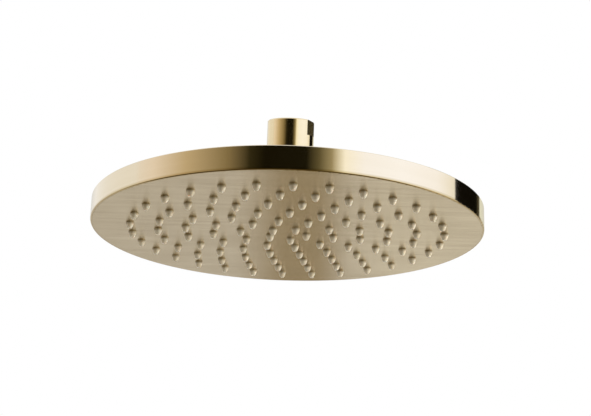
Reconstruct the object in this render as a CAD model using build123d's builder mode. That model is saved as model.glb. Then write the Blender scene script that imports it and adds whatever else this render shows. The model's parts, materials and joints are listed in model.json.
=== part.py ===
from build123d import *
from math import cos, radians, sin, sqrt, tan
import os

# Rain shower head: a round brass head with silicone nozzles, hung on a ball swivel.
# Millimetres, +Z up along the head's axis. The origin is on that axis, level with the nozzle tips.

# Head
head_diameter = 250.0
lip_round = 0.8
lip_flat = 0.3
lip_step = 1.5
rim_chamfer = 0.5
shell_top_thickness = 1.6
plate_thickness = 2.0
plate_rim_wall = 2.5
face_gasket_thickness = 1.0
retainer_wall = 3.5
outlet_gap = 2.9

# Nozzle field: ring by ring, each ring has one set of nozzles more than the ring inside it
ring_count = 6
nozzles_per_set = 5
first_ring_radius = 12.45
field_margin = 16.1
pattern_angle = 79.8
nozzle_sides = 8
nozzle_width = 4.8
nozzle_reach = 3.9
nozzle_bevel = 1.2
orifice_sides = 4
orifice_width = 1.3
mat_thickness = 1.5

# Inlet connector and what lies in its stepped bore
thread_diameter = 20.955
thread_length = 14.0
socket_wall = 4.7
socket_floor = 4.1
mouth_chamfer = 0.6
underside_chamfer = 2.0
flats_depth = 1.5
flats_height = 10.0
flats_angle = -21.5
washer_diameter = 19.6
washer_width = 3.6
washer_thickness = 3.0
screen_ledge = 1.8
screen_thickness = 0.6
screen_mesh = 1.3
screen_wire = 0.7
screen_rows = 5
regulator_ledge = 0.9
regulator_height = 5.0
regulator_groove_width = 2.6
regulator_groove_depth = 3.0
regulator_ports = 6
regulator_port_diameter = 1.6
waterway_diameter = 9.0
neck_wall = 2.5
neck_room = 7.95

# Ball swivel: the inlet leans on it, because the head hangs tipped towards the viewer.
# Angles on the ball are measured up or down from its equator.
inlet_lean = 11.2
lean_bearing = 2.0
ball_diameter = 24.0
ball_flat_angle = 55.0
slip_ring_wall = 1.2
slip_ring_top_angle = 37.0
slip_ring_low_angle = 18.0
seat_top_angle = 14.0
seat_contact_angle = 30.0
seat_low_angle = 48.0
seat_side_wall = 0.6
seat_seal_thickness = 1.5
seat_seal_width = 3.0
nut_lip_angle = 34.0
nut_lip_height = 1.5
nut_wall = 3.9
nut_flats_depth = 1.5
nut_chamfer = 1.0
nut_flange_gap = 1.3
hub_floor_room = 1.0
hub_floor_thickness = 1.5
hub_barrel_wall = 2.9
hub_flange_overhang = 5.0
hub_flange_thickness = 3.0
hub_gasket_thickness = 1.0
spigot_diameter = 24.0
spigot_wall = 6.0
spigot_end = 1.0
hub_washer_width = 4.9
hub_washer_thickness = 1.0
lock_nut_wall = 4.0
lock_nut_height = 4.5

# Clearances
slip_clearance = 0.1
thread_clearance = 0.1
fit_clearance = 0.1
nozzle_clearance = 0.1

# Radii of the inlet, from the thread inwards
thread_radius = thread_diameter / 2
connector_radius = thread_radius + socket_wall
washer_radius = washer_diameter / 2
screen_radius = washer_radius - screen_ledge
regulator_radius = screen_radius - regulator_ledge
waterway_radius = waterway_diameter / 2
neck_radius = waterway_radius + neck_wall

# Radii of the swivel, from the ball outwards
ball_radius = ball_diameter / 2
slip_inner = ball_radius + slip_clearance
slip_outer = slip_inner + slip_ring_wall
nut_cup = slip_outer + slip_clearance
seat_outer = nut_cup + seat_side_wall
hub_bore = seat_outer + slip_clearance
hub_barrel = hub_bore + hub_barrel_wall
hub_flange = hub_barrel + hub_flange_overhang
nut_thread = hub_barrel + thread_clearance
nut_outer = nut_thread + nut_wall
seal_outer = hub_bore - fit_clearance
seal_inner = seal_outer - seat_seal_width
spigot_radius = spigot_diameter / 2
spigot_hole = spigot_radius + fit_clearance
hub_washer_radius = spigot_hole + hub_washer_width

# Radii of the head, from the rim inwards
head_radius = head_diameter / 2
lip_inner = head_radius - lip_round - lip_flat
shell_inner = lip_inner - lip_step
plate_edge = lip_inner - fit_clearance
plate_rim_outer = shell_inner - thread_clearance
plate_rim_inner = plate_rim_outer - plate_rim_wall
retainer_outer = plate_rim_inner - fit_clearance
retainer_inner = retainer_outer - retainer_wall
ring_pitch = (retainer_inner - field_margin - first_ring_radius) / (ring_count - 1)

# Heights of the head, from the nozzle tips up to the swivel nut
face = nozzle_reach
plate_top = face + plate_thickness
mat_top = plate_top + mat_thickness
spigot_low = mat_top + outlet_gap
lock_nut_low = spigot_low + spigot_end
hub_washer_low = lock_nut_low + lock_nut_height
shell_ceiling = hub_washer_low + hub_washer_thickness
gasket_low = shell_ceiling - face_gasket_thickness
shell_top = shell_ceiling + shell_top_thickness
flange_low = shell_top + hub_gasket_thickness
flange_top = flange_low + hub_flange_thickness
nut_low = flange_top + nut_flange_gap
hub_floor = flange_low + hub_floor_thickness
ball_z = hub_floor + hub_floor_room + ball_radius
nut_top = ball_z + nut_cup * sin(radians(nut_lip_angle)) + nut_lip_height

# Heights of the inlet, from its mouth down to the ball's centre
washer_floor = -thread_length - washer_thickness - fit_clearance
screen_floor = washer_floor - screen_thickness - fit_clearance
regulator_floor = screen_floor - regulator_height - fit_clearance
regulator_top = regulator_floor + regulator_height
connector_low = regulator_floor - socket_floor
ball_drop = connector_low - neck_room - (nut_top - ball_z)

# The inlet's planes: across its mouth, and along its axis for turned profiles
ball_plane = Plane((0, 0, ball_z)).rotated((inlet_lean, 0, 0)).rotated((0, 0, lean_bearing))
mouth_plane = ball_plane.offset(-ball_drop)
inlet_section = Plane(mouth_plane.origin, x_dir=mouth_plane.x_dir, z_dir=-mouth_plane.y_dir)
inlet_axis = Axis(mouth_plane.origin, mouth_plane.z_dir)

# The cone of the ball seat touches the ball's clearance sphere at its contact angle
seat_top = ball_z - slip_inner * sin(radians(seat_top_angle))
seat_low = ball_z - slip_inner * sin(radians(seat_low_angle))
contact_radius = slip_inner * cos(radians(seat_contact_angle))
contact_z = ball_z - slip_inner * sin(radians(seat_contact_angle))
seat_slope = tan(radians(seat_contact_angle))
seat_top_radius = contact_radius + (seat_top - contact_z) * seat_slope
seat_low_radius = contact_radius + (seat_low - contact_z) * seat_slope
seal_top = seat_low - slip_clearance
seal_low = seal_top - seat_seal_thickness


def on_ball(radius, angle, centre=ball_z):
    """Profile point on a circle about the ball's centre, at an angle above its equator."""
    return (radius * cos(radians(angle)), centre + radius * sin(radians(angle)))


# Places of the nozzles, ring by ring
nozzle_places = []
for ring in range(ring_count):
    ring_radius = first_ring_radius + ring * ring_pitch
    ring_nozzles = nozzles_per_set * (ring + 1)
    nozzle_places += PolarLocations(ring_radius, ring_nozzles, start_angle=pattern_angle).locations

os.makedirs("parts", exist_ok=True)

# Inlet connector: threaded socket, stepped bore, neck and ball, turned from one bar
neck_foot = (neck_radius, ball_drop + sqrt(ball_radius**2 - neck_radius**2))
ball_foot = on_ball(ball_radius, -ball_flat_angle, ball_drop)
with BuildPart() as inlet_connector:
    with BuildSketch(inlet_section):
        with BuildLine():
            Polyline(
                (thread_radius, 0),
                (connector_radius - mouth_chamfer, 0),
                (connector_radius, -mouth_chamfer),
                (connector_radius, connector_low + underside_chamfer),
                (connector_radius - underside_chamfer, connector_low),
                (neck_radius, connector_low),
                neck_foot,
            )
            ThreePointArc(neck_foot, on_ball(ball_radius, 0, ball_drop), ball_foot)
            Polyline(
                ball_foot,
                (waterway_radius, ball_foot[1]),
                (waterway_radius, regulator_floor),
                (regulator_radius + fit_clearance, regulator_floor),
                (regulator_radius + fit_clearance, screen_floor),
                (screen_radius + fit_clearance, screen_floor),
                (screen_radius + fit_clearance, washer_floor),
                (washer_radius + fit_clearance, washer_floor),
                (washer_radius + fit_clearance, -thread_length),
                (thread_radius, -thread_length),
                (thread_radius, 0),
            )
        make_face()
    revolve(axis=inlet_axis)
    # Two wrench flats beside the mouth
    with BuildSketch(mouth_plane):
        with PolarLocations(connector_radius, 2, start_angle=flats_angle):
            Rectangle(2 * flats_depth, 2 * connector_radius)
    extrude(amount=-flats_height, mode=Mode.SUBTRACT)
inlet_connector.part.label = "inlet_connector"
export_step(inlet_connector.part, "parts/inlet_connector.step")

# Inlet washer at the bottom of the thread
with BuildPart() as inlet_washer:
    with BuildSketch(mouth_plane.offset(washer_floor)):
        Circle(washer_radius)
        Circle(washer_radius - washer_width, mode=Mode.SUBTRACT)
    extrude(amount=washer_thickness)
inlet_washer.part.label = "inlet_washer"
export_step(inlet_washer.part, "parts/inlet_washer.step")

# Strainer screen under the washer
with BuildPart() as strainer_screen:
    screen_pitch = screen_mesh + screen_wire
    with BuildSketch(mouth_plane.offset(screen_floor)):
        Circle(screen_radius)
        with GridLocations(screen_pitch, screen_pitch, screen_rows, screen_rows):
            Rectangle(screen_mesh, screen_mesh, mode=Mode.SUBTRACT)
    extrude(amount=screen_thickness)
strainer_screen.part.label = "strainer_screen"
export_step(strainer_screen.part, "parts/strainer_screen.step")

# Flow regulator: a moulded plug with a ring groove on top and ports through its floor
with BuildPart() as flow_regulator:
    with BuildSketch(mouth_plane.offset(regulator_floor)):
        Circle(regulator_radius)
    extrude(amount=regulator_height)
    with BuildSketch(mouth_plane.offset(regulator_top)):
        Circle(waterway_radius)
        Circle(waterway_radius - regulator_groove_width, mode=Mode.SUBTRACT)
    extrude(amount=-regulator_groove_depth, mode=Mode.SUBTRACT)
    with BuildSketch(mouth_plane.offset(regulator_floor)):
        with PolarLocations(waterway_radius - regulator_groove_width / 2, regulator_ports):
            Circle(regulator_port_diameter / 2)
    extrude(amount=regulator_height, mode=Mode.SUBTRACT)
flow_regulator.part.label = "flow_regulator"
export_step(flow_regulator.part, "parts/flow_regulator.step")

# Swivel nut: thread below, cup over the ball, flared lip and two wrench flats
nut_lip = on_ball(nut_cup, nut_lip_angle)
with BuildPart() as swivel_nut:
    with BuildSketch(Plane.XZ):
        with BuildLine():
            Polyline(
                on_ball(nut_cup, 0),
                (nut_thread, ball_z),
                (nut_thread, nut_low),
                (nut_outer, nut_low),
                (nut_outer, nut_top - nut_chamfer),
                (nut_outer - nut_chamfer, nut_top),
                (nut_lip[0] + nut_lip_height, nut_top),
                nut_lip,
            )
            ThreePointArc(nut_lip, on_ball(nut_cup, nut_lip_angle / 2), on_ball(nut_cup, 0))
        make_face()
    revolve(axis=Axis.Z)
    with BuildSketch(Plane.XY.offset(nut_low)):
        with PolarLocations(nut_outer, 2, start_angle=flats_angle):
            Rectangle(2 * nut_flats_depth, 2 * nut_outer)
    extrude(amount=nut_top - nut_low, mode=Mode.SUBTRACT)
swivel_nut.part.label = "swivel_nut"
export_step(swivel_nut.part, "parts/swivel_nut.step")

# Slip ring: a zone of a ball shell between the ball and the nut
slip_angles = (
    slip_ring_low_angle,
    (slip_ring_low_angle + slip_ring_top_angle) / 2,
    slip_ring_top_angle,
)
slip_inside = [on_ball(slip_inner, angle) for angle in slip_angles]
slip_outside = [on_ball(slip_outer, angle) for angle in slip_angles]
with BuildPart() as slip_ring:
    with BuildSketch(Plane.XZ):
        with BuildLine():
            ThreePointArc(*slip_inside)
            Line(slip_inside[-1], slip_outside[-1])
            ThreePointArc(*slip_outside)
            Line(slip_outside[0], slip_inside[0])
        make_face()
    revolve(axis=Axis.Z)
slip_ring.part.label = "slip_ring"
export_step(slip_ring.part, "parts/slip_ring.step")

# Ball seat: conical ring under the ball
with BuildPart() as ball_seat:
    with BuildSketch(Plane.XZ):
        with BuildLine():
            Polyline(
                (seat_top_radius, seat_top),
                (seat_outer, seat_top),
                (seat_outer, seat_low),
                (seat_low_radius, seat_low),
                close=True,
            )
        make_face()
    revolve(axis=Axis.Z)
ball_seat.part.label = "ball_seat"
export_step(ball_seat.part, "parts/ball_seat.step")

# Seal ring that backs the ball seat
with BuildPart() as seat_seal:
    with BuildSketch(Plane.XY.offset(seal_low)):
        Circle(seal_outer)
        Circle(seal_inner, mode=Mode.SUBTRACT)
    extrude(amount=seat_seal_thickness)
seat_seal.part.label = "seat_seal"
export_step(seat_seal.part, "parts/seat_seal.step")

# Swivel hub: barrel for the ball and the nut, flange on the shell, spigot through it
with BuildPart() as swivel_hub:
    with BuildSketch(Plane.XZ):
        with BuildLine():
            Polyline(
                (hub_bore, ball_z),
                (hub_barrel, ball_z),
                (hub_barrel, flange_top),
                (hub_flange, flange_top),
                (hub_flange, flange_low),
                (spigot_radius, flange_low),
                (spigot_radius, spigot_low),
                (spigot_radius - spigot_wall, spigot_low),
                (spigot_radius - spigot_wall, hub_floor),
                (seal_inner, hub_floor),
                (seal_inner, seal_low),
                (hub_bore, seal_low),
                close=True,
            )
        make_face()
    revolve(axis=Axis.Z)
swivel_hub.part.label = "swivel_hub"
export_step(swivel_hub.part, "parts/swivel_hub.step")

# Gasket under the hub's flange
with BuildPart() as hub_gasket:
    with BuildSketch(Plane.XY.offset(shell_top)):
        Circle(hub_flange)
        Circle(spigot_hole, mode=Mode.SUBTRACT)
    extrude(amount=hub_gasket_thickness)
hub_gasket.part.label = "hub_gasket"
export_step(hub_gasket.part, "parts/hub_gasket.step")

# Washer on the hub's spigot, inside the shell
with BuildPart() as hub_washer:
    with BuildSketch(Plane.XY.offset(hub_washer_low)):
        Circle(hub_washer_radius)
        Circle(spigot_hole, mode=Mode.SUBTRACT)
    extrude(amount=hub_washer_thickness)
hub_washer.part.label = "hub_washer"
export_step(hub_washer.part, "parts/hub_washer.step")

# Hexagon lock nut that clamps the hub to the shell
with BuildPart() as hub_lock_nut:
    with BuildSketch(Plane.XY.offset(lock_nut_low)):
        RegularPolygon(spigot_radius + lock_nut_wall, 6, major_radius=False)
        Circle(spigot_radius + thread_clearance, mode=Mode.SUBTRACT)
    extrude(amount=lock_nut_height)
hub_lock_nut.part.label = "hub_lock_nut"
export_step(hub_lock_nut.part, "parts/hub_lock_nut.step")

# Upper shell: flat top, upright rim, and a thin rounded lip round the face
lip_side = (head_radius, face + lip_round)
lip_foot = (head_radius - lip_round, face)
with BuildPart() as upper_shell:
    with BuildSketch(Plane.XZ):
        with BuildLine():
            Polyline(
                (spigot_hole, shell_top),
                (head_radius - rim_chamfer, shell_top),
                (head_radius, shell_top - rim_chamfer),
                lip_side,
            )
            RadiusArc(lip_side, lip_foot, lip_round)
            Polyline(
                lip_foot,
                (lip_inner, face),
                (lip_inner, plate_top),
                (shell_inner, plate_top),
                (shell_inner, shell_ceiling),
                (spigot_hole, shell_ceiling),
                (spigot_hole, shell_top),
            )
        make_face()
    revolve(axis=Axis.Z)
upper_shell.part.label = "upper_shell"
export_step(upper_shell.part, "parts/upper_shell.step")

# Spray plate: face disc with a hole for each nozzle, and a threaded rim behind it
with BuildPart() as spray_plate:
    with BuildSketch(Plane.XY.offset(face)):
        Circle(plate_edge)
        with Locations(nozzle_places):
            RegularPolygon(nozzle_width / 2 + nozzle_clearance, nozzle_sides, mode=Mode.SUBTRACT)
    extrude(amount=plate_thickness)
    with BuildSketch(Plane.XY.offset(plate_top)):
        Circle(plate_rim_outer)
        Circle(plate_rim_inner, mode=Mode.SUBTRACT)
    extrude(amount=gasket_low - plate_top)
spray_plate.part.label = "spray_plate"
export_step(spray_plate.part, "parts/spray_plate.step")

# Gasket between the plate's rim and the shell
with BuildPart() as face_gasket:
    with BuildSketch(Plane.XY.offset(gasket_low)):
        Circle(plate_rim_outer)
        Circle(plate_rim_inner, mode=Mode.SUBTRACT)
    extrude(amount=face_gasket_thickness)
face_gasket.part.label = "face_gasket"
export_step(face_gasket.part, "parts/face_gasket.step")

# One nozzle, bevelled at its tip
with BuildPart() as nozzle:
    with BuildSketch(Plane.XY.offset(mat_top)):
        RegularPolygon(nozzle_width / 2, nozzle_sides)
    extrude(amount=-mat_top)
    chamfer(nozzle.faces().sort_by(Axis.Z)[0].edges(), nozzle_bevel)

# Nozzle mat: membrane behind the plate, one piece with its bored nozzles
with BuildPart() as nozzle_mat:
    with BuildSketch(Plane.XY.offset(plate_top)):
        Circle(retainer_outer)
    extrude(amount=mat_thickness)
    with Locations(nozzle_places):
        add(nozzle.part)
    with BuildSketch(Plane.XY.offset(mat_top)):
        with Locations(nozzle_places):
            RegularPolygon(orifice_width / 2, orifice_sides)
    extrude(amount=-mat_top, mode=Mode.SUBTRACT)
nozzle_mat.part.label = "nozzle_mat"
export_step(nozzle_mat.part, "parts/nozzle_mat.step")

# Retainer ring that presses the mat's edge on the plate
with BuildPart() as mat_retainer:
    with BuildSketch(Plane.XY.offset(mat_top)):
        Circle(retainer_outer)
        Circle(retainer_inner, mode=Mode.SUBTRACT)
    extrude(amount=shell_ceiling - mat_top)
mat_retainer.part.label = "mat_retainer"
export_step(mat_retainer.part, "parts/mat_retainer.step")
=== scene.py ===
import json
from math import ceil, cos, pi, radians, sin, sqrt

import bmesh
import bpy
from mathutils import Matrix, Vector
from mathutils.geometry import delaunay_2d_cdt


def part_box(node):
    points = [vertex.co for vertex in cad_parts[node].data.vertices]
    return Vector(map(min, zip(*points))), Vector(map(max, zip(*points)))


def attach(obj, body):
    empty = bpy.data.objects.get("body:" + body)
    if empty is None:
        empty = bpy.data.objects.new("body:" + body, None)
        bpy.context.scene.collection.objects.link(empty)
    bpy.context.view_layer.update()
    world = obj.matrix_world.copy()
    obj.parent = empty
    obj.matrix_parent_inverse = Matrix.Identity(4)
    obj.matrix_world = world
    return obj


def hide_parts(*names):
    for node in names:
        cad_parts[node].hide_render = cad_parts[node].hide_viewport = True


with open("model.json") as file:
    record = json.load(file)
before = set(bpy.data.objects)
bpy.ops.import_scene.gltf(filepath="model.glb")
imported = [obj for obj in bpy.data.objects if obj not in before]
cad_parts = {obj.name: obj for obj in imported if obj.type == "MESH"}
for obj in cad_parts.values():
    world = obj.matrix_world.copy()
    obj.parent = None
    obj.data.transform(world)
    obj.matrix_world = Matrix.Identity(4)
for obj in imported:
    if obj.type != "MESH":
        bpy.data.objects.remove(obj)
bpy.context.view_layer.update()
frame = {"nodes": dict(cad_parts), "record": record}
nodes = frame["nodes"]
mm = 0.001
scene = bpy.context.scene
scene.view_settings.view_transform = "Standard"
print("frame loaded,", len(nodes), "nodes")

# heights that the pieces share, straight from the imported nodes, in metres
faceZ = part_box("spray_plate")[0].z
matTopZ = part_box("nozzle_mat")[1].z
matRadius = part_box("nozzle_mat")[1].x
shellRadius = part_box("upper_shell")[1].x

# the inlet leans on its ball: its mouth and axis come from the thread's mount
threadMount = frame["record"]["mounts"][0]
mouthPlace = Vector(threadMount["pos_m"])
headAxis = Vector((0, 0, 1))
inletAxis = Vector(threadMount["axis"]).normalized()
inletTurn = headAxis.rotation_difference(inletAxis).to_matrix().to_4x4()
inletFrame = Matrix.Translation(mouthPlace) @ inletTurn


# small helpers for meshes
def makePiece(name, points, faces, body):
    mesh = bpy.data.meshes.new(name)
    mesh.from_pydata(points, [], faces)
    mesh.validate()
    piece = bpy.data.objects.new(name, mesh)
    scene.collection.objects.link(piece)
    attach(piece, body)
    return piece


def smoothByAngle(piece, degrees):
    mesh = piece.data
    mesh.polygons.foreach_set("use_smooth", [True] * len(mesh.polygons))
    mesh.set_sharp_from_angle(angle=radians(degrees))


def fixNormals(piece):
    bm = bmesh.new()
    bm.from_mesh(piece.data)
    bmesh.ops.recalc_face_normals(bm, faces=bm.faces)
    bm.to_mesh(piece.data)
    bm.free()


def circlePoints(radius, z, count, centre=(0.0, 0.0)):
    ring = []
    for k in range(count):
        angle = 2 * pi * k / count
        ring.append((centre[0] + radius * cos(angle), centre[1] + radius * sin(angle), z))
    return ring


def bridge(first, second, count):
    quads = []
    for k in range(count):
        after = (k + 1) % count
        quads.append((first + k, first + after, second + after, second + k))
    return quads


# small helpers for shader nodes
def startMaterial(name):
    mat = bpy.data.materials.new(name)
    mat.use_nodes = True
    tree = mat.node_tree
    tree.nodes.clear()
    out = tree.nodes.new("ShaderNodeOutputMaterial")
    shader = tree.nodes.new("ShaderNodeBsdfPrincipled")
    tree.links.new(shader.outputs["BSDF"], out.inputs["Surface"])
    return mat, tree, shader


def addNode(tree, kind, inputs=None, **settings):
    node = tree.nodes.new("ShaderNode" + kind)
    for key, value in settings.items():
        setattr(node, key, value)
    for key, value in (inputs or {}).items():
        if isinstance(value, bpy.types.NodeSocket):
            tree.links.new(value, node.inputs[key])
        else:
            node.inputs[key].default_value = value
    return node


def calc(tree, operation, first, second=0.0):
    return addNode(tree, "Math", {0: first, 1: second}, operation=operation).outputs[0]


def spread(tree, value, low, high, fromLow=0.3, fromHigh=0.7):     # a noise mostly keeps to 0.3 to 0.7
    inputs = {"Value": value, "From Min": fromLow, "From Max": fromHigh}
    inputs.update({"To Min": low, "To Max": high})
    return addNode(tree, "MapRange", inputs).outputs["Result"]


def blendColours(tree, factor, first, second):
    node = addNode(tree, "Mix", data_type="RGBA")
    tree.links.new(factor, node.inputs[0])
    for index, colour in ((6, first), (7, second)):     # the node's two colour sockets
        if isinstance(colour, bpy.types.NodeSocket):
            tree.links.new(colour, node.inputs[index])
        else:
            node.inputs[index].default_value = (*colour, 1)
    return node.outputs[2]


def vectorCalc(tree, operation, first, second=(0.0, 0.0, 0.0)):
    return addNode(tree, "VectorMath", {0: first, 1: second}, operation=operation).outputs[0]


def scaled(tree, vector, factor):
    return addNode(tree, "VectorMath", {0: vector, "Scale": factor}, operation="SCALE").outputs[0]


def lengthOf(tree, vector):
    return addNode(tree, "VectorMath", {0: vector}, operation="LENGTH").outputs["Value"]


def heightOf(tree, vector):
    return addNode(tree, "SeparateXYZ", {0: vector}).outputs[2]


def toWorld(tree, vector):
    kinds = {"vector_type": "VECTOR", "convert_from": "OBJECT", "convert_to": "WORLD"}
    return addNode(tree, "VectorTransform", {0: vector}, **kinds).outputs[0]


def noise(tree, vector, scale, detail, rough):
    inputs = {"Vector": vector, "Scale": scale, "Detail": detail, "Roughness": rough}
    return addNode(tree, "TexNoise", inputs).outputs["Fac"]


def addBump(tree, spec, relief):
    inputs = {"Strength": spec["bump"], "Distance": spec["bumpDepth"], "Height": relief}
    return addNode(tree, "Bump", inputs)


def dress(mat, *names):
    for name in names:
        nodes[name].data.materials.clear()
        nodes[name].data.materials.append(mat)


# round silicone nozzles on their mat, ring by ring as in the solids
nozzleMat = {
    "rings": 6,
    "perSet": 5,
    "firstRadius": 12.45 * mm,
    "ringPitch": 17.53 * mm,
    "startAngle": radians(79.8),
    "segments": 28,
    "rimSegments": 180,
    "stemRadius": 2.25 * mm,
    "boreRadius": 0.5 * mm,
    "boreFoot": 3.3 * mm,
    "thickness": 1.5 * mm,
    "stemEnd": 0.01 * mm,      # the stem widens just below the face
    "smoothAngle": 50,
    # outside of one nozzle below the face: radius, depth in millimetres
    "profile": [
        (2.56, 0.01), (2.61, 0.15), (2.60, 0.40), (2.50, 0.90), (2.36, 1.40),
        (2.20, 1.90), (2.03, 2.38), (1.84, 2.82), (1.63, 3.20), (1.39, 3.52),
        (1.14, 3.74), (0.92, 3.86), (0.76, 3.885), (0.63, 3.82), (0.55, 3.66),
    ],
}


# flat triangles between round holes; the last loop is the outer edge
def fillBetween(points, loops):
    places, owners, edges = [], [], []
    for number, (start, size) in enumerate(loops):
        first = len(places)
        places.extend(range(start, start + size))
        owners.extend([number] * size)
        edges.extend((first + k, first + (k + 1) % size) for k in range(size))
    flat = [Vector(points[place][:2]) / mm for place in places]
    insideOnly = 1
    closeness = 1e-6      # millimetres that count as one point
    filled = delaunay_2d_cdt(flat, edges, [], insideOnly, closeness)
    triangles, origins = filled[2], filled[3]
    outer = len(loops) - 1
    faces = []
    for triangle in triangles:
        corners = [origins[corner][0] for corner in triangle]
        held = {owners[corner] for corner in corners}
        if len(held) > 1 or outer in held:      # not across one hole
            faces.append(tuple(places[corner] for corner in corners))
    return faces


def buildNozzleMat(spec):
    points, faces = [], []
    count = spec["segments"]
    stem, bore = spec["stemRadius"], spec["boreRadius"]
    plateTop = matTopZ - spec["thickness"]
    lowLoops, topLoops = [], []

    def addRing(radius, z, sides, centre=(0.0, 0.0)):
        points.extend(circlePoints(radius, z, sides, centre))
        return len(points) - sides

    for ring in range(spec["rings"]):
        radius = spec["firstRadius"] + ring * spec["ringPitch"]
        total = spec["perSet"] * (ring + 1)
        for k in range(total):
            angle = spec["startAngle"] + 2 * pi * k / total
            centre = (radius * cos(angle), radius * sin(angle))
            rows = [addRing(stem, plateTop, count, centre)]
            lowLoops.append((rows[0], count))
            rows.append(addRing(stem, faceZ - spec["stemEnd"], count, centre))
            for r, depth in spec["profile"]:
                rows.append(addRing(r * mm, faceZ - depth * mm, count, centre))
            rows.append(addRing(bore, faceZ - spec["boreFoot"], count, centre))
            rows.append(addRing(bore, matTopZ, count, centre))
            topLoops.append((rows[-1], count))
            for first, second in zip(rows, rows[1:]):
                faces.extend(bridge(first, second, count))
    rimCount = spec["rimSegments"]
    low = addRing(matRadius, plateTop, rimCount)
    top = addRing(matRadius, matTopZ, rimCount)
    faces.extend(bridge(low, top, rimCount))
    for loops, edge in ((lowLoops, low), (topLoops, top)):
        faces.extend(fillBetween(points, [*loops, (edge, rimCount)]))
    piece = makePiece("nozzle_field", points, faces, "head")
    fixNormals(piece)
    smoothByAngle(piece, spec["smoothAngle"])
    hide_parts("nozzle_mat")
    return piece


nozzleField = buildNozzleMat(nozzleMat)
print("nozzles made,", len(nozzleField.data.polygons), "faces")


# half-inch pipe thread inside the inlet, heights from its mouth
inletThread = {
    "rootRadius": 10.54 * mm,
    "crestRadius": 9.32 * mm,
    "pitch": 1.814 * mm,
    "topZ": -0.9 * mm,
    "lowZ": -13.0 * mm,
    "rootWidth": 1.5 * mm,
    "crestWidth": 0.3 * mm,
    "stepsPerTurn": 72,
    "runOut": 0.3,           # turns over which the ridge fades at each end
    "endDepth": 0.05,        # share of its depth that is left there
    "smoothAngle": 35,
}


def buildInletThread(spec):
    points, faces = [], []
    root = spec["rootRadius"]
    turns = (spec["topZ"] - spec["lowZ"]) / spec["pitch"]
    steps = ceil(turns * spec["stepsPerTurn"])
    for k in range(steps + 1):
        turn = turns * k / steps
        fade = min(1.0, turn / spec["runOut"], (turns - turn) / spec["runOut"])
        share = spec["endDepth"] + (1 - spec["endDepth"]) * fade
        crest = root - (root - spec["crestRadius"]) * share
        z = spec["topZ"] - turn * spec["pitch"]
        angle = 2 * pi * turn
        section = [
            (root, spec["rootWidth"] / 2),
            (crest, spec["crestWidth"] / 2),
            (crest, -spec["crestWidth"] / 2),
            (root, -spec["rootWidth"] / 2),
        ]
        for radius, lift in section:
            points.append((radius * cos(angle), -radius * sin(angle), z + lift))
    count = len(section)
    for k in range(steps):
        faces.extend(bridge(count * k, count * (k + 1), count))
    faces.append(tuple(range(count)))
    faces.append(tuple(count * steps + corner for corner in reversed(range(count))))
    piece = makePiece("inlet_thread", points, faces, "inlet")
    piece.data.transform(inletFrame)
    fixNormals(piece)
    smoothByAngle(piece, spec["smoothAngle"])
    return piece


threadPiece = buildInletThread(inletThread)
print("inlet thread made,", len(threadPiece.data.polygons), "faces")


# woven wire strainer in its rim, heights from the inlet's mouth
strainer = {
    "outer": 8.0 * mm,
    "topZ": -17.2 * mm,
    "lowZ": -17.8 * mm,
    "wire": 0.13 * mm,
    "pitch": 0.82 * mm,
    "wireSides": 6,
    "stepsPerPitch": 4,
    "rimInner": 6.7 * mm,
    "rimSegments": 96,
    "rimRound": 0.14 * mm,
    "wireGrip": 0.5 * mm,        # how far the wires run into the rim
    "shortestHalf": 1.5 * mm,    # wires shorter than twice this are left out
    "smoothAngle": 50,
}


def buildStrainer(spec):
    outer, top, low = spec["outer"], spec["topZ"], spec["lowZ"]
    middle = (low + top) / 2
    points, faces = [], []
    # rim with rounded corners, turned about the axis
    edge, inner = spec["rimRound"], spec["rimInner"]
    section = [
        (outer - edge, top), (outer, top - edge), (outer, low + edge), (outer - edge, low),
        (inner + edge, low), (inner, low + edge), (inner, top - edge), (inner + edge, top),
    ]
    count = spec["rimSegments"]
    for r, z in section:
        points.extend(circlePoints(r, z, count))
    for k in range(len(section)):
        faces.extend(bridge(k * count, ((k + 1) % len(section)) * count, count))
    # wires over and under each other
    reach = inner + spec["wireGrip"]
    rows = int(reach / spec["pitch"])
    sides = spec["wireSides"]
    for along in (0, 1):
        for row in range(-rows, rows + 1):
            across = row * spec["pitch"]
            half = sqrt(max(reach ** 2 - across ** 2, 0))
            if half < spec["shortestHalf"]:
                continue
            steps = 2 * ceil(half / spec["pitch"] * spec["stepsPerPitch"])
            start = len(points)
            for k in range(steps + 1):
                run = -half + 2 * half * k / steps
                wave = cos(pi * run / spec["pitch"]) * (1 if (row + along) % 2 else -1)
                z = middle + spec["wire"] * wave
                for s in range(sides):
                    turn = 2 * pi * s / sides
                    side = across + spec["wire"] * cos(turn)
                    lift = z + spec["wire"] * sin(turn)
                    points.append((run, side, lift) if along == 0 else (side, run, lift))
            for k in range(steps):
                faces.extend(bridge(start + k * sides, start + (k + 1) * sides, sides))
            faces.append(tuple(start + s for s in range(sides)))
            faces.append(tuple(start + steps * sides + s for s in reversed(range(sides))))
    piece = makePiece("strainer_weave", points, faces, "inlet")
    piece.data.transform(inletFrame)
    fixNormals(piece)
    smoothByAngle(piece, spec["smoothAngle"])
    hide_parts("strainer_screen")
    return piece


strainerPiece = buildStrainer(strainer)
print("strainer made,", len(strainerPiece.data.polygons), "faces")


# brass with fine lines round the axis, as it comes off the lathe and the brush
turnedBrass = {
    "light": (0.76, 0.66, 0.485),
    "dark": (0.745, 0.642, 0.465),
    "roughLow": 0.10,
    "roughHigh": 0.155,
    "anisotropy": 0.8,
    "lines": 2.6,        # in a millimetre, across the brushing
    "streak": 2.2,       # how often they change round the axis
    "bump": 0.05,
    "bumpDepth": 0.012 * mm,
    "lacquer": 0.4,
}

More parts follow.
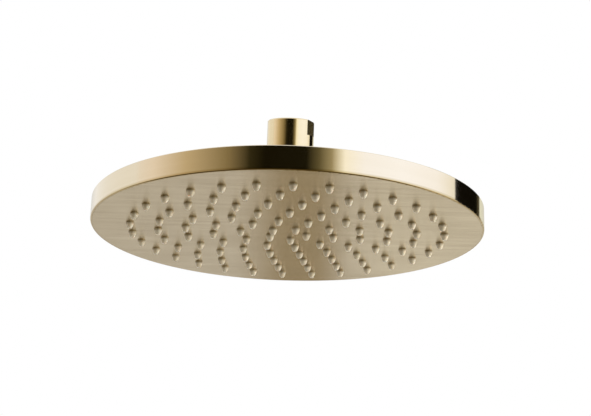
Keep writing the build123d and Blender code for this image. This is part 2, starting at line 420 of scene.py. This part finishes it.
# what every brass piece shares; grains are scale, detail and roughness of a noise
brassGrain = {
    "fine": (1.0, 3.0, 0.6),
    "broad": (0.22, 2.0, 0.5),
    "handled": (28.0, 2.0, 0.5),      # soft patches where hands polish it
    "polish": (-0.015, 0.02),
    "lacquerRough": 0.12,
    "shineTurn": 0.25,                # shine spreads across the lines
}

# the shell is glossier, with a satin top and a small round lip where it meets the face
shellFinish = dict(
    turnedBrass,
    roughLow=0.055,
    roughHigh=0.085,
    topSatin=0.33,               # the flat top is left with a coarser brush
    topTurn=(0.6, 0.95),         # it sets in as the surface turns upward
    lip=(0.52, 0.40, 0.20),      # painted reflection: browner towards the lip, standing in for the dark brown it reflects there
    lipLow=0.4 * mm,
    lipHigh=2.0 * mm,
    lipRound=0.8 * mm,
    lipWidth=1.1 * mm,
)


def turnedCoords(tree, spec, centre, axis):
    here = addNode(tree, "TexCoord").outputs["Object"]
    local = vectorCalc(tree, "SUBTRACT", here, centre)
    dot = addNode(tree, "VectorMath", {0: local, 1: axis}, operation="DOT_PRODUCT")
    along = dot.outputs["Value"]
    outward = vectorCalc(tree, "SUBTRACT", local, scaled(tree, axis, along))
    length = lengthOf(tree, outward)
    unit = vectorCalc(tree, "NORMALIZE", outward)
    across = calc(tree, "MULTIPLY", calc(tree, "ADD", along, length), spec["lines"] / mm)
    coords = vectorCalc(tree, "ADD", scaled(tree, unit, spec["streak"]), scaled(tree, axis, across))
    return here, coords, toWorld(tree, vectorCalc(tree, "CROSS_PRODUCT", axis, unit))


# the lip shades by its own arc, which is finer than its facets
def lipNormal(tree, spec, here):
    flat = vectorCalc(tree, "MULTIPLY", here, (1, 1, 0))
    reach = lengthOf(tree, flat)
    height = heightOf(tree, here)
    past = calc(tree, "MAXIMUM", calc(tree, "SUBTRACT", reach, shellRadius - spec["lipRound"]), 0.0)
    below = calc(tree, "MINIMUM", calc(tree, "SUBTRACT", height, faceZ + spec["lipRound"]), 0.0)
    sideways = scaled(tree, vectorCalc(tree, "NORMALIZE", flat), past)
    downward = scaled(tree, headAxis, below)
    arc = vectorCalc(tree, "NORMALIZE", vectorCalc(tree, "ADD", sideways, downward))
    outside = calc(tree, "GREATER_THAN", reach, shellRadius - spec["lipWidth"])
    low = calc(tree, "LESS_THAN", height, faceZ + spec["lipHigh"])
    plain = addNode(tree, "NewGeometry").outputs["Normal"]
    onLip = calc(tree, "MULTIPLY", outside, low)
    pick = {0: onLip, 4: plain, 5: toWorld(tree, arc)}      # factor and the two vector sockets
    return addNode(tree, "Mix", pick, data_type="VECTOR").outputs[1]


def finishBrass(tree, shader, spec, here, coords):
    fine = noise(tree, coords, *brassGrain["fine"])
    broad = noise(tree, coords, *brassGrain["broad"])
    handled = noise(tree, here, *brassGrain["handled"])
    colour = blendColours(tree, spread(tree, broad, 0.0, 1.0), spec["dark"], spec["light"])
    # painted reflection: the brass browns towards the lip
    if "lip" in spec:
        lipFrom, lipTo = faceZ + spec["lipLow"], faceZ + spec["lipHigh"]
        lipShare = spread(tree, heightOf(tree, here), 1.0, 0.0, lipFrom, lipTo)
        colour = blendColours(tree, lipShare, colour, spec["lip"])
    tree.links.new(colour, shader.inputs["Base Color"])
    rough = spread(tree, fine, spec["roughLow"], spec["roughHigh"])
    rough = calc(tree, "ADD", rough, spread(tree, handled, *brassGrain["polish"]))
    if "topSatin" in spec:
        upward = heightOf(tree, addNode(tree, "TexCoord").outputs["Normal"])
        satin = spread(tree, upward, 0.0, spec["topSatin"], *spec["topTurn"])
        rough = calc(tree, "ADD", rough, satin)
    tree.links.new(rough, shader.inputs["Roughness"])
    relief = calc(tree, "ADD", fine, calc(tree, "MULTIPLY", broad, spec.get("waves", 0.0)))
    bump = addBump(tree, spec, relief)
    if "lipRound" in spec:
        tree.links.new(lipNormal(tree, spec, here), bump.inputs["Normal"])
    tree.links.new(bump.outputs[0], shader.inputs["Normal"])
    shader.inputs["Metallic"].default_value = 1.0
    shader.inputs["Anisotropic"].default_value = spec["anisotropy"]
    shader.inputs["Coat Weight"].default_value = spec["lacquer"]
    shader.inputs["Coat Roughness"].default_value = brassGrain["lacquerRough"]


def makeTurned(name, spec, centre=(0.0, 0.0, 0.0), axis=headAxis):
    mat, tree, shader = startMaterial(name)
    here, coords, tangent = turnedCoords(tree, spec, centre, axis)
    finishBrass(tree, shader, spec, here, coords)
    tree.links.new(tangent, shader.inputs["Tangent"])
    shader.inputs["Anisotropic Rotation"].default_value = brassGrain["shineTurn"]
    return mat


swivelFinish = dict(turnedBrass, light=(0.77, 0.65, 0.425), dark=(0.755, 0.632, 0.405))
dress(makeTurned("swivelBrass", swivelFinish), "swivel_nut", "swivel_hub")
dress(makeTurned("shellBrass", shellFinish), "upper_shell")
inletFinish = dict(turnedBrass, light=(0.775, 0.645, 0.40), dark=(0.76, 0.627, 0.38))
inletBrass = makeTurned("inletBrass", inletFinish, mouthPlace, inletAxis)
dress(inletBrass, "inlet_connector")
threadPiece.data.materials.append(inletBrass)


# face plate, brushed in straight strokes along X
faceBrass = {
    "light": (0.77, 0.66, 0.485),
    "dark": (0.71, 0.605, 0.43),
    "roughLow": 0.175,
    "roughHigh": 0.26,
    "anisotropy": 1.0,
    "lines": 1.9,
    "stroke": 0.025,     # in a millimetre along X, so long strokes
    "bump": 0.2,
    "bumpDepth": 0.012 * mm,
    "waves": 0.35,
    "lacquer": 0.15,
}


def makeFaceBrass(name, spec):
    mat, tree, shader = startMaterial(name)
    here = addNode(tree, "TexCoord").outputs["Object"]
    scale = (spec["stroke"] / mm, spec["lines"] / mm, spec["lines"] / mm)
    coords = vectorCalc(tree, "MULTIPLY", here, scale)
    finishBrass(tree, shader, spec, here, coords)
    across = addNode(tree, "CombineXYZ", {1: 1.0}).outputs[0]
    tree.links.new(toWorld(tree, across), shader.inputs["Tangent"])
    return mat


dress(makeFaceBrass("faceBrass", faceBrass), "spray_plate")

# machined brass of the parts inside
plainBrass = dict(
    turnedBrass,
    light=(0.78, 0.63, 0.36),
    dark=(0.70, 0.55, 0.29),
    roughLow=0.2,
    roughHigh=0.34,
)
dress(makeTurned("plainBrass", plainBrass), "hub_washer", "hub_lock_nut")
print("brass done")


# moulded and cut soft parts and plastics; detail and roughness of their two noises
mouldedGrain = {
    "cloud": (3.0, 0.55),
    "grain": (2.0, 0.6),
}


def makeMoulded(name, spec):
    mat, tree, shader = startMaterial(name)
    here = addNode(tree, "TexCoord").outputs["Object"]
    cloud = noise(tree, here, spec["cloudScale"], *mouldedGrain["cloud"])
    grain = noise(tree, here, spec["grainScale"], *mouldedGrain["grain"])
    colour = blendColours(tree, spread(tree, cloud, 0.0, 1.0), spec["dark"], spec["light"])
    if "footShade" in spec:      # painted shade: darker towards the foot where it meets the face
        footLow, footHigh = faceZ - spec["footDepth"], faceZ - spec["footTop"]
        lift = spread(tree, heightOf(tree, here), 0.0, 1.0, footLow, footHigh)
        colour = blendColours(tree, lift, colour, spec["footShade"])
    tree.links.new(colour, shader.inputs["Base Color"])
    rough = spread(tree, grain, spec["roughLow"], spec["roughHigh"])
    tree.links.new(rough, shader.inputs["Roughness"])
    tree.links.new(addBump(tree, spec, grain).outputs[0], shader.inputs["Normal"])
    if "softness" in spec:
        shader.inputs["Subsurface Weight"].default_value = spec["softness"]
        shader.inputs["Subsurface Radius"].default_value = spec["glow"]
        shader.inputs["Subsurface Scale"].default_value = spec["glowDepth"]
    return mat


silicone = {
    "light": (0.74, 0.67, 0.53),
    "dark": (0.68, 0.61, 0.47),
    # painted shade: the silicone darkens towards its foot at the face
    "footShade": (0.38, 0.31, 0.18),
    "footDepth": 1.7 * mm,
    "footTop": 0.15 * mm,
    "cloudScale": 90.0,
    "grainScale": 2600.0,
    "roughLow": 0.30,
    "roughHigh": 0.42,
    "bump": 0.15,
    "bumpDepth": 0.02 * mm,
    "softness": 0.35,
    "glow": (1.0, 0.85, 0.7),
    "glowDepth": 0.9 * mm,
}
nozzleField.data.materials.append(makeMoulded("nozzleSilicone", silicone))

blackRubber = {
    "light": (0.040, 0.039, 0.038),
    "dark": (0.022, 0.022, 0.022),
    "cloudScale": 160.0,
    "grainScale": 3200.0,
    "roughLow": 0.62,
    "roughHigh": 0.82,
    "bump": 0.35,
    "bumpDepth": 0.03 * mm,
}
rubberNames = ("inlet_washer", "seat_seal", "hub_gasket", "face_gasket")
dress(makeMoulded("blackRubber", blackRubber), *rubberNames)

whiteAcetal = {
    "light": (0.87, 0.87, 0.85),
    "dark": (0.82, 0.82, 0.79),
    "cloudScale": 70.0,
    "grainScale": 1800.0,
    "roughLow": 0.34,
    "roughHigh": 0.46,
    "bump": 0.12,
    "bumpDepth": 0.02 * mm,
    "softness": 0.2,
    "glow": (1.0, 0.95, 0.85),
    "glowDepth": 0.8 * mm,
}
dress(makeMoulded("whiteAcetal", whiteAcetal), "slip_ring", "ball_seat", "mat_retainer")

regulatorPlastic = dict(
    whiteAcetal,
    light=(0.27, 0.53, 0.39),
    dark=(0.22, 0.46, 0.32),
    roughLow=0.22,
    roughHigh=0.34,
    softness=0.1,
)
dress(makeMoulded("regulatorPlastic", regulatorPlastic), "flow_regulator")

screenSteel = dict(
    turnedBrass,
    light=(0.66, 0.66, 0.65),
    dark=(0.55, 0.55, 0.54),
    roughLow=0.24,
    roughHigh=0.38,
    anisotropy=0.3,
)
steelWire = makeTurned("screenSteel", screenSteel, mouthPlace, inletAxis)
dress(steelWire, "strainer_screen")
strainerPiece.data.materials.append(steelWire)
print("soft parts and plastics done")


# camera where the photograph was taken from, below the face and looking up
photoCamera = {
    "rise": radians(17.279),
    "roll": radians(1.719),
    "distance": 833.9 * mm,
    "side": 4.88 * mm,
    "lift": 16.24 * mm,
    "lens": 79.36,
    "sensor": 36.0,
    "clip": (0.01, 60.0),
}


def placeCamera(spec):
    right = Vector((1, 0, 0))
    ahead = Vector((0, cos(spec["rise"]), sin(spec["rise"])))
    up = Vector((0, -sin(spec["rise"]), cos(spec["rise"])))
    place = Vector((0, 0, faceZ)) - ahead * spec["distance"]
    place += right * spec["side"] + up * spec["lift"]
    rolledRight = right * cos(spec["roll"]) + up * sin(spec["roll"])
    rolledUp = up * cos(spec["roll"]) - right * sin(spec["roll"])
    data = bpy.data.cameras.new("photoCamera")
    data.lens = spec["lens"]
    data.sensor_width = spec["sensor"]
    data.sensor_fit = "HORIZONTAL"
    data.clip_start, data.clip_end = spec["clip"]
    camera = bpy.data.objects.new("photoCamera", data)
    turn = Matrix((rolledRight, rolledUp, -ahead)).transposed()
    camera.matrix_world = Matrix.Translation(place) @ turn.to_4x4()
    scene.collection.objects.link(camera)
    scene.camera = camera


placeCamera(photoCamera)


# pale dome: white to the camera, pale in reflections, calmer for the light that falls on the part
dome = {
    "above": (1.0, 1.0, 1.0),
    "below": (0.73, 0.70, 0.635),
    "horizonLow": -0.12,
    "horizonHigh": 0.10,
    "ambient": 0.56,
}


def buildDome(spec):
    world = bpy.data.worlds.new("paleDome")
    world.use_nodes = True
    scene.world = world
    tree = world.node_tree
    tree.nodes.clear()
    direction = addNode(tree, "TexCoord").outputs["Generated"]
    height = heightOf(tree, direction)
    lift = spread(tree, height, 0.0, 1.0, spec["horizonLow"], spec["horizonHigh"])
    tone = blendColours(tree, lift, spec["below"], spec["above"])
    seen = addNode(tree, "Background", {"Color": tone, "Strength": 1.0})
    white = addNode(tree, "Background", {"Color": (1, 1, 1, 1), "Strength": 1.0})
    calm = addNode(tree, "Background", {"Color": tone, "Strength": spec["ambient"]})
    path = addNode(tree, "LightPath")
    glossy, through = path.outputs["Is Glossy Ray"], path.outputs["Is Transmission Ray"]
    shiny = calc(tree, "MAXIMUM", glossy, through)
    first = addNode(tree, "MixShader", {0: shiny, 1: calm.outputs[0], 2: seen.outputs[0]})
    toCamera = path.outputs["Is Camera Ray"]
    last = addNode(tree, "MixShader", {0: toCamera, 1: first.outputs[0], 2: white.outputs[0]})
    out = addNode(tree, "OutputWorld")
    tree.links.new(last.outputs[0], out.inputs["Surface"])


buildDome(dome)


# pale floor well below the head, running out into white
floorSpec = {
    "z": -1.27,
    "radius": 9.0,
    "sides": 96,
    "colour": (0.80, 0.79, 0.77),
    "shine": (0.73, 0.70, 0.635),
    "shineShare": 0.85,
    "rough": 0.9,
    "mottle": (3.0, 3.0, 0.5),
    "mottleShade": 0.985,
    "glow": 0.6,
    "fadeStart": 1.4,
    "fadeEnd": 4.0,
}


def buildFloor(spec):
    count = spec["sides"]
    points = circlePoints(spec["radius"], spec["z"], count)
    mesh = bpy.data.meshes.new("floor")
    mesh.from_pydata(points, [], [tuple(range(count))])
    floor = bpy.data.objects.new("floor", mesh)
    scene.collection.objects.link(floor)
    mat, tree, shader = startMaterial("paleFloor")
    here = addNode(tree, "TexCoord").outputs["Object"]
    mottle = noise(tree, here, *spec["mottle"])
    darker = tuple(c * spec["mottleShade"] for c in spec["colour"])
    tone = blendColours(tree, spread(tree, mottle, 0.0, 1.0), darker, spec["colour"])
    tree.links.new(tone, shader.inputs["Base Color"])
    shader.inputs["Roughness"].default_value = spec["rough"]
    # lit from within a little, so that it stays pale and still takes the shadow
    reach = lengthOf(tree, vectorCalc(tree, "MULTIPLY", here, (1, 1, 0)))
    fade = spread(tree, reach, spec["glow"], 1.0, spec["fadeStart"], spec["fadeEnd"])
    path = addNode(tree, "LightPath")
    toCamera = calc(tree, "MULTIPLY", fade, path.outputs["Is Camera Ray"])
    toShine = calc(tree, "MULTIPLY", path.outputs["Is Glossy Ray"], spec["shineShare"])
    white = addNode(tree, "Emission", {"Color": (1, 1, 1, 1), "Strength": 1.0})
    shine = addNode(tree, "Emission", {"Color": (*spec["shine"], 1), "Strength": 1.0})
    first = addNode(tree, "MixShader", {0: toShine, 1: shader.outputs[0], 2: shine.outputs[0]})
    mix = addNode(tree, "MixShader", {0: toCamera, 1: first.outputs[0], 2: white.outputs[0]})
    out = [node for node in tree.nodes if node.type == "OUTPUT_MATERIAL"][0]
    tree.links.new(mix.outputs[0], out.inputs["Surface"])
    mesh.materials.append(mat)


buildFloor(floorSpec)


# studio cards round the head: bearings in degrees from the camera side towards +X,
# shades as places along the bearings with their colours
cards = {
    "cameraShade": {
        "bearings": (-34, 32), "soft": (0.05, 0.01),
        "heights": (-1.25, 1.6), "softHeights": (0.02, 0.1),
        "radius": 1.7, "strength": 1.0, "diffuse": True,
        "shades": [
            (0.03, (0.26, 0.20, 0.10)), (0.20, (0.035, 0.028, 0.009)),
            (0.32, (0.008, 0.006, 0.001)), (0.66, (0.010, 0.008, 0.002)),
            (0.76, (0.13, 0.108, 0.048)), (0.88, (0.45, 0.39, 0.23)),
        ],
    },
    "warmFlag": {
        "bearings": (-94, -28), "soft": (0.06, 0.02),
        "heights": (-0.4, 1.3), "softHeights": (0.13, 0.13),
        "radius": 1.9, "strength": 1.0, "diffuse": True,
        "shades": [
            (0.0, (1.0, 0.97, 0.95)), (0.22, (0.97, 0.88, 0.80)), (0.55, (0.66, 0.54, 0.35)),
            (0.92, (0.29, 0.225, 0.11)),
        ],
    },
    "softbox": {
        "bearings": (23, 106.2), "soft": (0.085, 0.005),
        "heights": (-0.5, 1.9), "softHeights": (0.1, 0.1),
        "radius": 1.5, "strength": 1.25, "diffuse": False,
        "shades": [
            (0.03, (0.98, 0.97, 0.86)), (0.22, (0.99, 1.04, 1.20)), (0.5, (1.02, 1.08, 1.28)),
            (0.8, (0.98, 1.02, 1.16)), (0.97, (0.86, 0.86, 0.84)),
        ],
    },
    "rightFlag": {
        "bearings": (106.2, 136.6), "soft": (0.005, 0.05),
        "heights": (-0.9, 1.4), "softHeights": (0.12, 0.1),
        "radius": 1.5, "slant": 14.0, "strength": 1.0, "diffuse": False,
        "shades": [(0.78, (0.004, 0.003, 0.001)), (0.97, (0.12, 0.1, 0.05))],
    },
    "backShade": {
        "bearings": (140, 220), "soft": (0.06, 0.06),
        "heights": (-0.02, 2.0), "softHeights": (0.05, 0.2),
        "radius": 2.0, "strength": 1.0, "diffuse": False,
        "shades": [
            (0.06, (0.84, 0.84, 0.68)), (0.25, (0.68, 0.65, 0.56)), (0.42, (0.95, 0.92, 0.82)),
            (0.58, (0.92, 0.89, 0.82)), (0.70, (0.70, 0.69, 0.65)), (0.85, (0.86, 0.85, 0.83)),
            (0.96, (1.0, 1.0, 1.0)),
        ],
    },
    "backStrip": {
        "bearings": (175.8, 183.9), "soft": (0.28, 0.4),
        "heights": (-1.25, 0.12), "softHeights": (0.02, 0.25),
        "radius": 1.6, "strength": 1.0, "diffuse": False,
        "shades": [(0.5, (0.38, 0.31, 0.195))],
    },
    "backGlow": {
        "bearings": (160, 178), "soft": (0.25, 0.25),
        "heights": (-1.25, 0.12), "softHeights": (0.02, 0.25),
        "radius": 1.65, "strength": 1.0, "diffuse": False,
        "shades": [(0.5, (0.83, 0.80, 0.71))],
    },
    "skirt": {
        "bearings": (-112, 118), "soft": (0.06, 0.06),
        "heights": (-1.25, -0.3), "softHeights": (0.01, 0.14),
        "radius": 1.45, "strength": 1.0, "diffuse": False,
        "shades": [
            (0.3, (0.14, 0.10, 0.03)), (0.5, (0.06, 0.043, 0.012)), (0.6, (0.26, 0.20, 0.085)),
            (0.72, (0.82, 0.67, 0.37)),
        ],
    },
}

# dark apron under the head, wide in front; with the skirt it gives the lip its line round the face
apron = {
    "front": 2.4,
    "back": 1.0,
    "middle": 0.01,
    "z": -1.24,
    "soft": (0.02, 0.25),
    "softSeam": (0.001, 0.001),
    "colour": (0.11, 0.075, 0.02),
    "columns": 72,
    "rows": 6,
}
cardGrid = {"columns": 48, "rows": 6}      # faces of each card, along its bearings and up

# soft lamp from the right and below for the silicone; the brass reflects only the cards
sideLamp = {
    "bearing": radians(90),
    "rise": radians(-20),
    "distance": 0.7,
    "size": 0.35,
    "power": 4.2,
    "colour": (1.0, 0.96, 0.90),
}

# weaker one from the left, deeper below
fillLamp = dict(
    sideLamp,
    bearing=radians(-85),
    rise=radians(-25),
    power=0.7,
    colour=(1.0, 0.93, 0.80),
)


def cardMaterial(name, shades, strength, softs):
    mat = bpy.data.materials.new(name)
    mat.use_nodes = True
    tree = mat.node_tree
    tree.nodes.clear()
    place = addNode(tree, "UVMap", uv_map="card").outputs[0]
    split = addNode(tree, "SeparateXYZ", {0: place})
    cover = 1.0
    for along, (near, far) in zip(split.outputs, softs):
        rising = spread(tree, along, 0.0, 1.0, 0.0, near)
        falling = spread(tree, along, 1.0, 0.0, 1.0 - far, 1.0)
        cover = calc(tree, "MULTIPLY", cover, calc(tree, "MULTIPLY", rising, falling))
    ramp = addNode(tree, "ValToRGB", {0: split.outputs[0]})
    stops = ramp.color_ramp.elements
    while len(stops) < len(shades):
        stops.new(1.0)
    while len(stops) > len(shades):
        stops.remove(stops[-1])
    for stop, (position, colour) in zip(stops, shades):
        stop.position = position
        stop.color = (*colour, 1)
    shine = addNode(tree, "Emission", {"Color": ramp.outputs[0], "Strength": strength})
    clear = addNode(tree, "BsdfTransparent")
    mix = addNode(tree, "MixShader", {0: cover, 1: clear.outputs[0], 2: shine.outputs[0]})
    out = addNode(tree, "OutputMaterial")
    tree.links.new(mix.outputs[0], out.inputs["Surface"])
    return mat


def addCard(name, points, columns, rows, mat, diffuse):
    faces = []
    for row in range(rows):
        for column in range(columns):
            corner = row * (columns + 1) + column
            faces.append((corner, corner + 1, corner + columns + 2, corner + columns + 1))
    mesh = bpy.data.meshes.new(name)
    mesh.from_pydata(points, [], faces)
    uv = mesh.uv_layers.new(name="card")
    for loop in mesh.loops:
        row, column = divmod(loop.vertex_index, columns + 1)
        uv.data[loop.index].uv = (column / columns, row / rows)
    mesh.materials.append(mat)
    card = bpy.data.objects.new(name, mesh)
    scene.collection.objects.link(card)
    card.visible_camera = False
    card.visible_shadow = False
    card.visible_diffuse = diffuse


def onBearing(radius, bearing, z):
    return Vector((radius * sin(bearing), -radius * cos(bearing), z))


def buildCard(name, spec):
    columns, rows = cardGrid["columns"], cardGrid["rows"]
    start, end = (radians(b) for b in spec["bearings"])
    low, high = spec["heights"]
    points = []
    for row in range(rows + 1):
        for column in range(columns + 1):
            z = low + (high - low) * row / rows
            lean = radians(spec.get("slant", 0.0)) * z * column / columns
            bearing = start + (end - start) * column / columns + lean
            points.append(onBearing(spec["radius"], bearing, z))
    softs = (spec["soft"], spec["softHeights"])
    mat = cardMaterial(name, spec["shades"], spec["strength"], softs)
    addCard(name, points, columns, rows, mat, spec["diffuse"])


def buildApron(spec):
    columns, rows = spec["columns"], spec["rows"]
    points = []
    for row in range(rows + 1):
        for column in range(columns + 1):
            bearing = 2 * pi * column / columns
            far = spec["back"] + (spec["front"] - spec["back"]) * (0.5 + 0.5 * cos(bearing))
            radius = spec["middle"] + (far - spec["middle"]) * row / rows
            points.append(onBearing(radius, bearing, spec["z"]))
    mat = cardMaterial("apron", [(0.5, spec["colour"])], 1.0, (spec["softSeam"], spec["soft"]))
    addCard("apron", points, columns, rows, mat, False)


def placeLamp(name, spec):
    level = spec["distance"] * cos(spec["rise"])
    place = onBearing(level, spec["bearing"], spec["distance"] * sin(spec["rise"]))
    data = bpy.data.lights.new(name, "AREA")
    data.energy = spec["power"]
    data.size = spec["size"]
    data.color = spec["colour"]
    lamp = bpy.data.objects.new(name, data)
    turn = place.to_track_quat("Z", "Y").to_matrix().to_4x4()
    lamp.matrix_world = Matrix.Translation(place) @ turn
    scene.collection.objects.link(lamp)
    lamp.visible_camera = False
    lamp.visible_glossy = False


for cardName, cardSpec in cards.items():
    buildCard(cardName, cardSpec)
buildApron(apron)
placeLamp("sideLamp", sideLamp)
placeLamp("fillLamp", fillLamp)
print("camera, dome, floor, cards and lamps placed")
